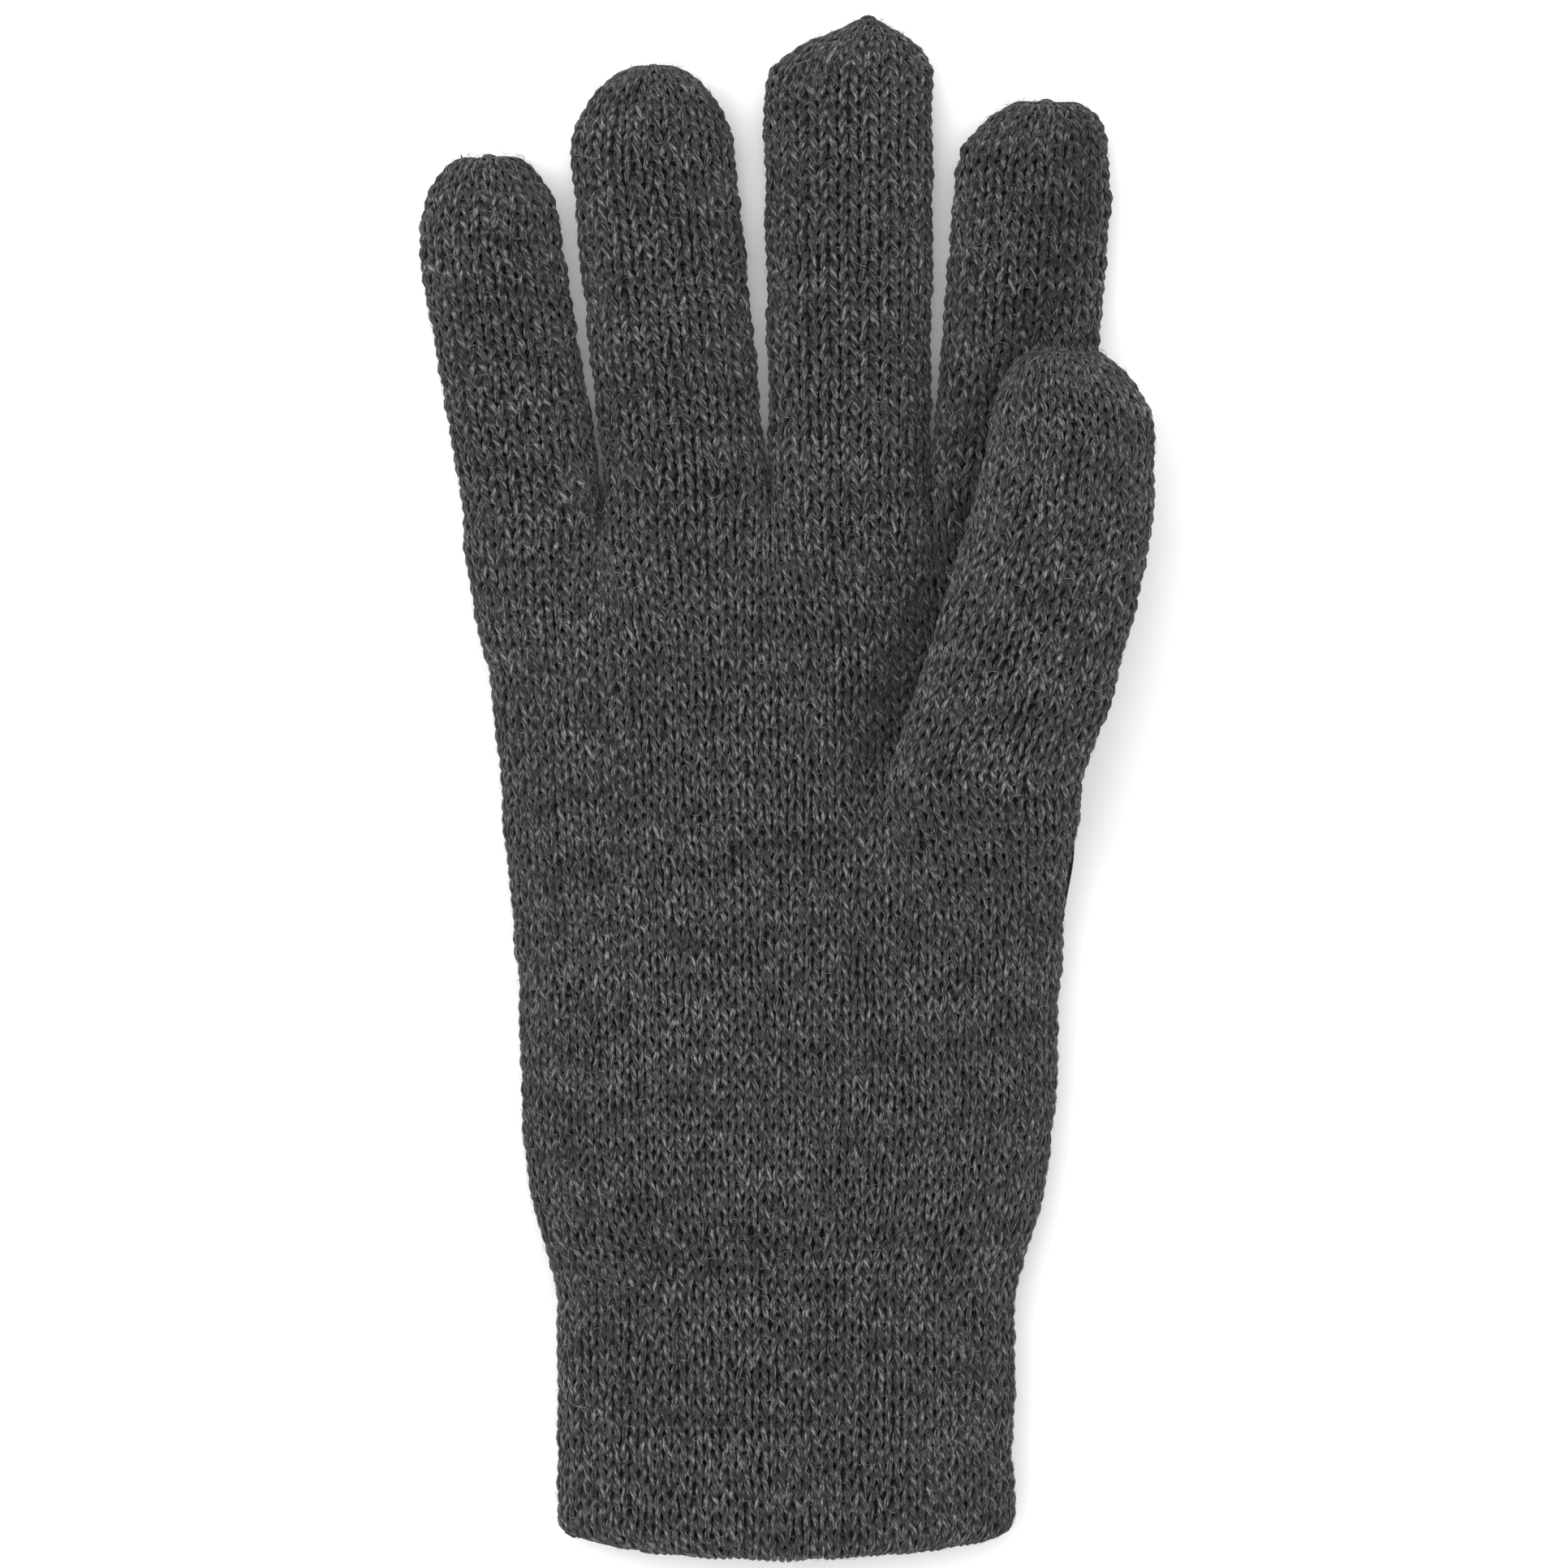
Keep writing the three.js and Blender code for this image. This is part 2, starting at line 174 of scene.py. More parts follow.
class Profile:
    """The box of a tube's section at any y, read from CAD nodes at a few levels."""

    def __init__(self, nodes_and_levels):
        rows = []
        for nodes, levels in nodes_and_levels:
            corners = triangles(*nodes)
            rows += [[y, *slice_box(corners, y)] for y in levels]
        self.table = np.array(sorted(rows))

    def at(self, y):
        """Left, right, low and high."""
        return [self._read(y, k) for k in range(1, 5)]

    def _read(self, y, k):
        ys, values = self.table[:, 0], self.table[:, k]
        if ys[0] <= y <= ys[-1]:
            return np.interp(y, ys, values)
        near, next_one = (0, 1) if y < ys[0] else (-1, -2)
        slope = (values[near] - values[next_one]) / (ys[near] - ys[next_one])
        return values[near] + slope * (y - ys[near])


def node_levels(node, shares):
    """Levels along a node, as shares of its length from its wrist end."""
    low, high = (corner.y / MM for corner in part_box(node))
    return [mix(low, high, share) for share in shares]


# ---- surfaces ------------------------------------------------------------------------------------


def half_ring(box, squareness, side, wales):
    """Points evenly spaced over the top (side 1) or the bottom (side -1) of a section, from -X to +X."""
    left, right, low, high = box
    angle = np.linspace(math.pi, 0, 241)
    power = 2 / squareness
    across = np.sign(np.cos(angle)) * np.abs(np.cos(angle)) ** power
    up = np.sin(angle).clip(0) ** power
    x = (left + right) / 2 + (right - left) / 2 * across
    z = (low + high) / 2 + side * (high - low) / 2 * up
    length = np.concatenate([[0], np.cumsum(np.hypot(np.diff(x), np.diff(z)))])
    even = np.linspace(0, length[-1], wales * COLUMNS + 1)
    return np.stack([np.interp(even, length, x), np.interp(even, length, z)], axis=1)


def full_ring(box, squareness, wales):
    """A closed section: over the top from -X to +X, then back underneath. Rows of x, z."""
    top = half_ring(box, squareness, 1, wales)[:-1]
    bottom = half_ring(box, squareness, -1, wales)[::-1][:-1]
    return np.concatenate([top, bottom])


def with_y(ring, y):
    """x, z rows and a y (one number or one for each point) as points."""
    return np.stack([ring[:, 0], np.broadcast_to(y, len(ring)), ring[:, 1]], axis=1)


class Surface:
    """A grid of points: (courses * ROWS + 1) rows of (wales * COLUMNS) points, closed round the tube."""

    def __init__(self, rows):
        self.points = np.array(rows, float)
        self.courses = (len(rows) - 1) / ROWS
        self.wales = self.points.shape[1] // COLUMNS
        self._measure()
        self.points += self.normals * (SURFACE + WAVINESS * self._ripple())[..., None]
        self._measure()
        # painted shadow beside the thumb's left edge: the share of the yarn's colour kept there
        self.open = 1 - CREASE_SHADE * beside_crease(self.points)

    def _measure(self):
        p = self.points
        around = np.roll(p, -1, axis=1) - np.roll(p, 1, axis=1)
        along = np.gradient(p, axis=0)
        n = np.cross(around, along)
        self.normals = n / np.linalg.norm(n, axis=2, keepdims=True).clip(1e-9)
        half = COLUMNS // 2
        self.pitch = np.linalg.norm(np.roll(p, -half, axis=1) - np.roll(p, half, axis=1), axis=2)

    def _ripple(self):
        """Soft uneven waves, so that the fabric doesn't lie like sheet metal."""
        x, y = self.points[..., 0], self.points[..., 1]
        total = np.zeros(x.shape)
        for size in WAVE_SIZES:
            for _ in range(3):
                turn, phase = rng.uniform(0, 2 * math.pi, 2)
                wave = (x * math.cos(turn) + y * math.sin(turn)) * 2 * math.pi / size
                total += np.sin(wave + phase) * size / 35
        return total / 2

    def read(self, field, u, v):
        """A field of the grid at wale u and course v, which are arrays."""
        count = self.points.shape[1]
        column, row = u * COLUMNS, v * ROWS
        c = np.floor(column).astype(int)
        r = np.clip(np.floor(row).astype(int), 0, len(self.points) - 2)  # straight on past either end
        fc, fr = column - c, row - r
        if field.ndim == 3:
            fc, fr = fc[..., None], fr[..., None]
        a = mix(field[r, c % count], field[r, (c + 1) % count], fc)
        b = mix(field[r + 1, c % count], field[r + 1, (c + 1) % count], fc)
        return mix(a, b, fr)


# ---- yarn and meshes -----------------------------------------------------------------------------


class Builder:
    """Gathers grids of vertices into one mesh of quads."""

    def __init__(self):
        self.points, self.quads, self.yarn, self.light, self.slots = [], [], [], [], []
        self.count = 0

    def add(self, points, close_rows, close_columns, yarn=None, light=0.5, slot=YARN_SLOT):
        """points is (grids, rows, columns, 3). Each grid becomes its own skin.

        yarn is what the yarn's material reads at each point: length, angle and tone.
        """
        grids, rows, columns = points.shape[:3]
        index = self.count + np.arange(grids * rows * columns).reshape(grids, rows, columns)
        if close_rows:
            index = np.concatenate([index, index[:, :1]], axis=1)
        if close_columns:
            index = np.concatenate([index, index[:, :, :1]], axis=2)
        quads = np.stack(
            [index[:, :-1, :-1], index[:, :-1, 1:], index[:, 1:, 1:], index[:, 1:, :-1]], axis=-1
        ).reshape(-1, 4)
        total = grids * rows * columns
        self.points.append(points.reshape(-1, 3))
        self.quads.append(quads)
        self.yarn.append(np.zeros((total, 3)) if yarn is None else yarn.reshape(-1, 3))
        self.light.append(np.broadcast_to(light, (grids, rows, columns)).reshape(-1))
        self.slots.append(np.full(len(quads), slot))
        self.count += total

    def make(self, name, materials):
        points = np.concatenate(self.points) * MM
        quads = np.concatenate(self.quads).astype(np.int32)
        mesh = bpy.data.meshes.new(name)
        mesh.vertices.add(len(points))
        mesh.vertices.foreach_set("co", points.astype(np.float32).ravel())
        mesh.loops.add(quads.size)
        mesh.loops.foreach_set("vertex_index", quads.ravel())
        mesh.polygons.add(len(quads))
        mesh.polygons.foreach_set("loop_start", np.arange(0, quads.size, 4, dtype=np.int32))
        mesh.polygons.foreach_set("material_index", np.concatenate(self.slots).astype(np.int32))
        mesh.polygons.foreach_set("use_smooth", np.ones(len(quads), bool))
        yarn = mesh.attributes.new("yarn", "FLOAT_VECTOR", "POINT")
        yarn.data.foreach_set("vector", np.concatenate(self.yarn).astype(np.float32).ravel())
        light = mesh.attributes.new("light", "FLOAT", "POINT")
        light.data.foreach_set("value", np.concatenate(self.light).astype(np.float32))
        for material in materials:
            mesh.materials.append(material)
        mesh.update(calc_edges=True)
        obj = bpy.data.objects.new(name, mesh)
        bpy.context.scene.collection.objects.link(obj)
        return obj


def sweep(builder, path, up, wide, deep, tone, light=1.0, slot=YARN_SLOT, sides=YARN_SIDES):
    """Tubes along paths, (runs, samples, 3), with up the side that faces out of the fabric.

    light is the share of the yarn's colour that painted shade keeps at a sample. The tube's colour also
    gets darker toward its underside: painted shade.
    """
    tangent = np.gradient(path, axis=1)
    tangent /= np.linalg.norm(tangent, axis=2, keepdims=True).clip(1e-9)
    up = up - (up * tangent).sum(axis=2, keepdims=True) * tangent
    up /= np.linalg.norm(up, axis=2, keepdims=True).clip(1e-9)
    side = np.cross(tangent, up)
    turn = -math.pi / 2 + 2 * math.pi * np.arange(sides) / sides
    ring = (
        path[:, :, None]
        + side[:, :, None] * np.cos(turn)[None, None, :, None] * wide[..., None, None]
        + up[:, :, None] * np.sin(turn)[None, None, :, None] * deep[..., None, None]
    )
    step = np.linalg.norm(np.diff(path, axis=1), axis=2)
    length = np.concatenate([np.zeros((len(path), 1)), np.cumsum(step, axis=1)], axis=1)
    start = rng.uniform(0, 400, (len(path), 1))
    yarn = np.zeros(ring.shape)
    yarn[..., 0] = (length + start)[..., None]
    yarn[..., 1] = turn
    yarn[..., 2] = tone[..., None]
    # painted shade: the colour darkens toward the yarn's flanks and underside
    lit = (0.5 + 0.5 * np.sin(turn)) ** FLANK_DARKNESS * np.broadcast_to(light, tone.shape)[..., None]
    builder.add(ring, False, True, yarn, lit, slot)


class Knit:
    """The stitches of one surface, with what is uneven about each of them."""

    def __init__(self, surface):
        self.surface = surface
        shape = (int(math.ceil(surface.courses)) + 3, surface.wales)
        self.shift = rng.normal(0, 1, (3, *shape))  # sideways, along and outward
        self.lean = rng.normal(1, LEAN_SPREAD, shape)
        self.size = rng.normal(1, SIZE_SPREAD, shape).clip(*SIZE_RANGE)
        self.tone = self._melange(shape)

    def _melange(self, shape):
        """Light and dark stretches: one yarn runs along a course, so its tone changes slowly there."""
        run = rng.normal(0, 1, shape)
        reach = np.arange(-6, 7)
        spread = np.exp(-(reach**2) / 8.0)
        spread /= math.sqrt((spread**2).sum())
        soft = sum(np.roll(run, k, axis=1) * weight for k, weight in zip(reach, spread))
        single = rng.normal(0, 1, shape)
        return np.clip(0.5 + RUN_SPREAD * soft + STITCH_SPREAD * single, 0, 1)

    def _read(self, table, course, k):
        """Interpolates a table of stitches along the courses."""
        low = np.floor(k).astype(int)
        n = self.surface.wales
        rows = course[:, None]
        return mix(table[rows, low % n], table[rows, (low + 1) % n], smooth(k - low))

    def lay(self, builder, courses, first, last, fuzz=FUZZ):
        """One run of yarn for each course, over wales first to last."""
        course = np.array(list(courses))
        k = first + np.arange((last - first) * LOOP_STEPS + 1) / LOOP_STEPS
        turn = 2 * math.pi * k[None]
        across, along, outward = (self._read(t, course, k - 0.5) for t in self.shift)
        lean = self._read(self.lean, course, k - 0.5)
        u = k[None] + LOOP_SWAY * lean * np.sin(2 * turn) + ASIDE_SPREAD * across
        v = course[:, None] + 0.5 - LOOP_HEIGHT / 2 * np.cos(turn) + ALONG_SPREAD * along
        surface = self.surface
        base = surface.read(surface.points, u, v)
        normal = surface.read(surface.normals, u, v)
        crowd = np.clip(surface.read(surface.pitch, u, v) / NOMINAL_WALE, *CROWDING)
        wave = LOOP_TUCK * np.cos(turn) - LOOP_DEPTH * np.cos(2 * turn)
        depth = (wave + OUTWARD_SPREAD * outward) * crowd
        path = base + normal * depth[..., None]
        plump = mix(YARN_NECK, 1, (1 - np.cos(2 * turn)) / 2)
        size = self._read(self.size, course, k - 0.5) * plump * crowd
        tone = self._read(self.tone, course, k)
        # painted shade: the yarn's colour darkens deep in the fabric and beside the thumb's left edge
        light = smooth((depth - DARK_DEPTH) / (LIT_DEPTH - DARK_DEPTH)) * surface.read(surface.open, u, v)
        sweep(builder, path, normal, YARN_WIDE * size, YARN_DEEP * size, tone, light)
        if fuzz:
            self._fuzz(builder, course, first, last, fuzz)

    def _fuzz(self, builder, course, first, last, fuzz):
        """Loose fibres that stand out of the yarn, fuzz of them for each stitch."""
        number = int(len(course) * (last - first) * fuzz)
        u, v = rng.uniform(first, last, number), rng.uniform(course[0], course[-1] + 1, number)
        heading, bend = rng.uniform(0, 2 * math.pi, number), rng.normal(0, FIBRE_BEND, number)
        length, rise = rng.uniform(*FIBRE_LENGTH, number), rng.uniform(*FIBRE_RISE, number)
        t = np.linspace(0, 1, 5)[None]
        way = heading[:, None] + bend[:, None] * t
        reach = length[:, None] * t / NOMINAL_WALE
        u, v = u[:, None] + reach * np.cos(way), v[:, None] + reach * np.sin(way)
        u = np.clip(u, first, last)
        surface = self.surface
        normal = surface.read(surface.normals, u, v)
        height = FIBRE_FOOT + rise[:, None] * np.sin(math.pi * t * 0.8)
        path = surface.read(surface.points, u, v) + normal * height[..., None]
        thick = np.broadcast_to(FIBRE_RADIUS * (1.15 - t), u.shape)
        tone = np.broadcast_to(rng.uniform(0, 1, number)[:, None], u.shape)
        sweep(builder, path, normal, thick, thick, tone, slot=FIBRE_SLOT, sides=3)

    def back(self, builder, rows, columns, closed):
        """The dark layer behind the loops, its near-black colour painted shade: a closed skin round a
        strip of the grid.
        """
        surface = self.surface
        n = surface.points.shape[1]
        rows = slice(max(rows[0], 0), min(rows[1], len(surface.points)))
        cols = np.arange(columns[0], columns[1] + (0 if closed else 1)) % n
        points, normals = surface.points[rows][:, cols], surface.normals[rows][:, cols]
        outer, inner = (points + normals * depth for depth in GROUND)
        if closed:
            skin = np.concatenate([outer, inner[::-1]])
            builder.add(skin[None], True, True, slot=SHADE_SLOT)
            return
        skin = np.concatenate([outer, inner[:, ::-1]], axis=1)
        builder.add(skin[None], False, True, slot=SHADE_SLOT)
        for end, flip in ((0, False), (-1, True)):
            cap = np.stack([outer[end], inner[end]])
            builder.add((cap[::-1] if flip else cap)[None], False, False, slot=SHADE_SLOT)


# ---- the hand, the fingers and the thumb as surfaces ---------------------------------------------

FINGERS = list(WALES)
TIP_LENGTH = 16.0  # over this length a fingertip rounds off
TIP_OPEN = 0.1  # the last round's thickness, as a share of the finger's
TIP_FULLNESS = 2.4  # the power by which a tip's thickness falls off: a higher one is blunter
# How each tip rounds off: the last round's width as a share of the full width, how blunt the tip is,
# how fast its sides draw in, and how far to the right its last round lies. The middle finger ends in
# a nub of this length. The first three are fitted to the tips' widths in the photo.
TIPS = {
    "little": {"end": 0.4, "blunt": 2.2, "draw": 0.7, "side": 2.2, "nub": 0},
    "ring": {"end": 0.18, "blunt": 1.9, "draw": 0.6, "side": 1.8, "nub": 0},
    "middle": {"end": 0.37, "blunt": 3.3, "draw": 1.0, "side": 3.5, "nub": 2.3},
    "index": {"end": 0.34, "blunt": 2.6, "draw": 0.7, "side": 1.2, "nub": 0},
    "thumb": {"end": 0.38, "blunt": 2.2, "draw": 0.75, "side": 0, "nub": 0},
}
NUB_END = 0.1  # the nub narrows to this share
TIP_BELOW = 0.4  # the last round lies this far below the end of the tip's closure
CROTCH = {"little": 46.5, "ring": 51.0, "middle": 51.0, "index": 51.0}
HAND_FROM = -76.6  # the hand's knit meets the cuff's here
HAND_TOP = CROTCH["ring"]
LOBE_LENGTH = 32.0  # below the crotches the wales part toward the fingers over this length
GROOVE_LENGTH = 10.0  # and the grooves between the fingers deepen over this one
WRIST = (-66.0, -90.0)  # between these levels the hand narrows into the cuff
CUFF_STRAIGHT = -104.0  # the cuff is as wide at its top as it is here
HAND_READ = (-72.2, 44.4)  # the hand's sections are read from the CAD between these levels
UPPER_SIDE = 10.0  # points higher than this are on the palm side

finger_profiles = {}
for f in FINGERS:
    tubes = [f"{f}_{part}_tube" for part in ("proximal", "middle", "tip")]
    finger_profiles[f] = Profile([([node], node_levels(node, (0.03, 0.5))) for node in tubes])
hand_profile = Profile([(["hand_palm_side", "hand_back_side"], list(np.linspace(*HAND_READ, 14)))])
cuff_levels = node_levels("cuff_outer_layer", (0.1, 0.35, 0.65, 0.98))
cuff_profile = Profile([(["cuff_outer_layer"], cuff_levels)])


def tube_box(y):
    """The section of the hand, the gathered rounds and the cuff at y."""
    if y > WRIST[0]:
        return hand_profile.at(y)
    share = smooth((WRIST[0] - y) / (WRIST[0] - WRIST[1]))
    hand_box, cuff_box = hand_profile.at(WRIST[0]), cuff_profile.at(min(y, CUFF_STRAIGHT))
    return list(mix(np.array(hand_box), np.array(cuff_box), share))


def hill(distance, width):
    """A smooth bump: 1 at no distance, falling off over the width."""
    return np.exp(-((distance / width) ** 2))


# The gathered rounds at the left of the wrist: a low ridge, a dent along it and one deep pucker.
# The ridge and the dent slope down from the hand's left edge and fade out toward an x.
GATHER_EDGE = -44.0
GATHER_FROM_EDGE = 7.0  # the relief reaches its full height this far from that edge
RIDGE = {"y": -71.64, "slope": 0.16, "width": 2.4, "height": 1.5, "end": -6, "fade": 20}
DENT = {"y": -77.3, "slope": 0.1, "width": 2.2, "height": -1.5, "end": -8, "fade": 18}
PUCKER = {"x": -28.0, "y": -81.0, "width": 2.8, "length": 2.4, "height": -1.6}


def gather(points):
    """Moves points of the palm side by the relief of the gathered rounds."""
    x, y = points[:, 0], points[:, 1]
    from_edge = x - GATHER_EDGE
    relief = np.zeros(len(points))
    for fold in (RIDGE, DENT):
        distance = y - fold["y"] + fold["slope"] * from_edge
        share = smooth((fold["end"] - x) / fold["fade"])
        relief += fold["height"] * hill(distance, fold["width"]) * share
    pucker = hill(x - PUCKER["x"], PUCKER["width"]) * hill(y - PUCKER["y"], PUCKER["length"])
    relief += PUCKER["height"] * pucker
    relief *= smooth(from_edge / GATHER_FROM_EDGE)
    points[:, 2] += np.where(points[:, 2] > UPPER_SIDE, relief, 0)
    return points


def crotch_levels():
    """The crotch level for each grid column of half the hand, little finger first."""
    columns = np.arange(HAND_WALES * COLUMNS + 1) / COLUMNS
    return mix(CROTCH["little"], CROTCH["ring"], smooth((columns - WALES["little"] + 1.5) / 3))


def finger_columns(f):
    """First grid column of a finger in half the hand."""
    return sum(WALES[g] for g in FINGERS[: FINGERS.index(f)]) * COLUMNS


def tip_width(f, distance):
    """A tip's width at some distances from its end, as a share of the full width."""
    tip = TIPS[f]
    share = np.clip((distance - tip["nub"]) / (TIP_LENGTH - tip["nub"]), 0, 1)
    width = mix(tip["end"], 1, (1 - (1 - share) ** tip["blunt"]) ** tip["draw"])
    if tip["nub"]:
        width = np.where(distance < tip["nub"], mix(NUB_END, tip["end"], distance / tip["nub"]), width)
    return width


def tip_end(f):
    """Where the last round of a tip lies: its y and its x."""
    low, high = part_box(f"{f}_tip_closure")
    return high.y / MM - TIP_BELOW, (low.x + high.x) / 2 / MM + TIPS[f]["side"]


def dome_rows(f, profile, wales, course):
    """Rings that close a tube over its tip, evenly spaced along the fabric."""
    tip, tip_x = tip_end(f)
    start = tip - TIP_LENGTH
    y = np.linspace(start, tip, 161)
    share = (y - start) / TIP_LENGTH
    wide = tip_width(f, tip - y)
    deep = mix(TIP_OPEN, 1, (1 - share**TIP_FULLNESS) ** 0.5)
    left, right, low, high = profile.at(start)
    half_width, half_depth = (right - left) / 2, (high - low) / 2
    radius = (wide * half_width + deep * half_depth) / 2
    length = np.concatenate([[0], np.cumsum(np.hypot(np.diff(y), np.diff(radius)))])
    count = int(round(length[-1] / course)) * ROWS
    rows = []
    for k in range(count + 1):
        at = length[-1] * k / count
        ring_y, ring_wide, ring_deep = (np.interp(at, length, field) for field in (y, wide, deep))
        x = mix((left + right) / 2, tip_x, smooth((ring_y - start) / TIP_LENGTH) ** 2)
        z = (low + high) / 2
        box = [x - ring_wide * half_width, x + ring_wide * half_width]
        box += [z - ring_deep * half_depth, z + ring_deep * half_depth]
        rows.append(with_y(full_ring(box, FINGER_SQUARENESS, wales), ring_y))
    return rows


def finger_rows(f):
    """The grid of a finger's tube, from its crotch to its tip."""
    profile, wales = finger_profiles[f], WALES[f]
    first = finger_columns(f)
    top = crotch_levels()[first : first + wales * COLUMNS + 1]
    base = np.concatenate([top[:-1], top[::-1][:-1]])
    straight = tip_end(f)[0] - TIP_LENGTH
    bottom = CROTCH[f]
    rows = []
    count = int(round((straight - bottom) / COURSE["finger"] * ROWS))
    for k in range(count):
        share = k / count
        ring = full_ring(profile.at(mix(bottom, straight, share)), FINGER_SQUARENESS, wales)
        rows.append(with_y(ring, mix(base, straight, share)))
    return rows + dome_rows(f, profile, wales, COURSE["finger"])


finger_grids = {f: finger_rows(f) for f in FINGERS}


def hand_rows():
    """The grid of the hand's tube. Its last row is the first row of the four fingers."""
    front, back = [], []
    for f in FINGERS:
        row = finger_grids[f][0]
        half = WALES[f] * COLUMNS
        front.append(row[:half])
        under = np.concatenate([row[half:], row[:1]])[::-1]
        back.append(under[:-1])
    end_point = finger_grids["index"][0][WALES["index"] * COLUMNS]
    front = np.concatenate([*front, end_point[None]])
    back = np.concatenate([*back, end_point[None]])
    crotches = np.concatenate([front[:-1], back[::-1][:-1]])
    count = int(round((HAND_TOP - HAND_FROM) / COURSE["hand"])) * ROWS
    rows = []
    for k in range(count + 1):
        y = mix(HAND_FROM, crotches[:, 1], k / count)
        level = mix(HAND_FROM, HAND_TOP, k / count)
        ring = full_ring(tube_box(min(level, HAND_READ[1])), HAND_SQUARENESS, HAND_WALES)
        points = gather(with_y(ring, y))
        near = smooth((level - HAND_TOP + LOBE_LENGTH) / LOBE_LENGTH)
        deep = smooth((level - HAND_TOP + GROOVE_LENGTH) / GROOVE_LENGTH) ** 1.3
        points[:, 0] = mix(points[:, 0], crotches[:, 0], near)
        points[:, 2] = mix(points[:, 2], crotches[:, 2], deep)
        rows.append(points)
    return rows


THUMB_FROM = 17  # the course of the hand at which the thumb begins to rise out of the palm
THUMB_LEFT = HAND_WALES - THUMB_WALES  # the wale of the palm where its left edge leaves it
THUMB_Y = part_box("thumb_base_tube")[0].y / MM
THUMB_RISE = 37.0  # over this length the palm's fabric rises into the thumb's left edge
NOTCH = 24.0  # and over this one into its right edge, at the side of the hand
THUMB_SQUARENESS = 2.5
ROOT_UNDER = (3.0, 5.0)  # the root's other side starts this far inside the hand, at its right and left
ROOT_LIP = 2.6  # where that side isn't knitted, it just carries on this far past the two edges
PULL_REACH = (1.6, 1.4)  # the root pulls up the palm over this many wales to the left and right
PULL_END = 8.0  # and for this length beyond its own end

hand_raw = hand_rows()
hand_step = (HAND_TOP - HAND_FROM) / (len(hand_raw) - 1)
thumb_profile = Profile(
    [
        (["thumb_base_tube"], node_levels("thumb_base_tube", (0.05, 0.95))),
        (["thumb_lower_tube"], node_levels("thumb_lower_tube", (0.1, 0.45, 0.8))),
        (["thumb_tip_tube"], node_levels("thumb_tip_tube", (0.03, 0.5))),
    ]
)


def hand_level(row):
    return HAND_FROM + row * hand_step


def root_share(level):
    """How far each column of the thumb's root has risen out of the palm at a level."""
    across = smooth(np.arange(THUMB_WALES * COLUMNS + 1) / (THUMB_WALES * COLUMNS))
    left = smooth((level - THUMB_Y + THUMB_RISE) / THUMB_RISE) ** 2.5
    return mix(left, smooth((level - THUMB_Y + NOTCH) / NOTCH), across)


def thumb_rows():
    """The thumb's grid: it starts on the palm, rises out of it, and closes over its tip."""
    top = half_ring(thumb_profile.at(THUMB_Y), THUMB_SQUARENESS, 1, THUMB_WALES)
    bottom = half_ring(thumb_profile.at(THUMB_Y), THUMB_SQUARENESS, -1, THUMB_WALES)
    across = np.arange(len(top)) / (len(top) - 1)
    rows = []
    row = THUMB_FROM * ROWS
    while hand_level(row) < THUMB_Y:
        level = hand_level(row)
        palm = hand_raw[row][THUMB_LEFT * COLUMNS : HAND_WALES * COLUMNS + 1]
        share = root_share(level)[:, None]
        upper = mix(palm, with_y(top, level), share)
        unknitted = 1 - smooth((level - THUMB_Y + NOTCH + 3) / 3)
        left_by = mix(ROOT_UNDER[0] * across**2, ROOT_LIP * (1 - across), unknitted)
        down_by = mix(ROOT_UNDER[1] * (1 - across), ROOT_LIP * across, unknitted)
        inside = palm - np.stack([left_by, 0 * across, down_by], axis=1)
        under = mix(inside, with_y(bottom, level), share)
        under[0], under[-1] = upper[0], upper[-1]
        rows.append(np.concatenate([upper[:-1], under[::-1][:-1]]))
        row += 1
    straight = tip_end("thumb")[0] - TIP_LENGTH
    first = hand_level(row - 1)
    count = int(round((straight - first) / COURSE["thumb"] * ROWS))
    for k in range(1, count):
        y = mix(first, straight, k / count)
        ring = full_ring(thumb_profile.at(max(y, THUMB_Y)), THUMB_SQUARENESS, THUMB_WALES)
        rows.append(with_y(ring, y))
    return rows + dome_rows("thumb", thumb_profile, THUMB_WALES, COURSE["thumb"])


def raise_palm(rows, thumb):
    """Lifts the palm beside the thumb's root, where the fabric is drawn up into the thumb."""
    wale = np.arange(len(rows[0])) / COLUMNS
    first = THUMB_FROM * ROWS
    spread = hill(wale - THUMB_LEFT, np.where(wale < THUMB_LEFT, *PULL_REACH))
    flat = rows[first][THUMB_LEFT * COLUMNS, 2]
    root_end = int((THUMB_Y - 1 - hand_level(first)) / hand_step)
    for row in range(first, len(rows)):
        edge = thumb[min(row - first, root_end)]
        fade = 1 - smooth((hand_level(row) - THUMB_Y + 1.5) / PULL_END)
        rows[row][:, 2] += (edge[0, 2] - flat) * fade * spread


CREASE = ((16.4, 0.3), (39.5, 68.0))  # the thumb's left edge: the palm falls away beside it
CREASE_DEPTH = 2.8
CREASE_SHADE = 0.55  # painted shadow of the thumb: how much the palm's yarn colour is darkened there
CREASE_TOP = 20.6  # anything higher than this belongs to the thumb
CREASE_REACH = (6.5, 5.0)  # to the left of that edge and to the right of it
CREASE_START = 8.0  # the crease begins this far below the edge's first point
CREASE_GROWTH = 14.0  # and is at its deepest after this length
CREASE_FADE = 12.0  # its depth is gone at the fingers' roots, and fades over this length


def beside_crease(points):
    """From 0 to 1, how close points of the palm are to the thumb's left edge."""
    (x0, y0), (x1, y1) = CREASE
    x, y, z = np.moveaxis(points, -1, 0)
    left = x0 + (y - y0) * (x1 - x0) / (y1 - y0) - x
    near = hill(left, np.where(left > 0, *CREASE_REACH))
    grown = smooth((y - y0 + CREASE_START) / CREASE_GROWTH)
    return np.where((z > UPPER_SIDE) & (z < CREASE_TOP), near * grown, 0)


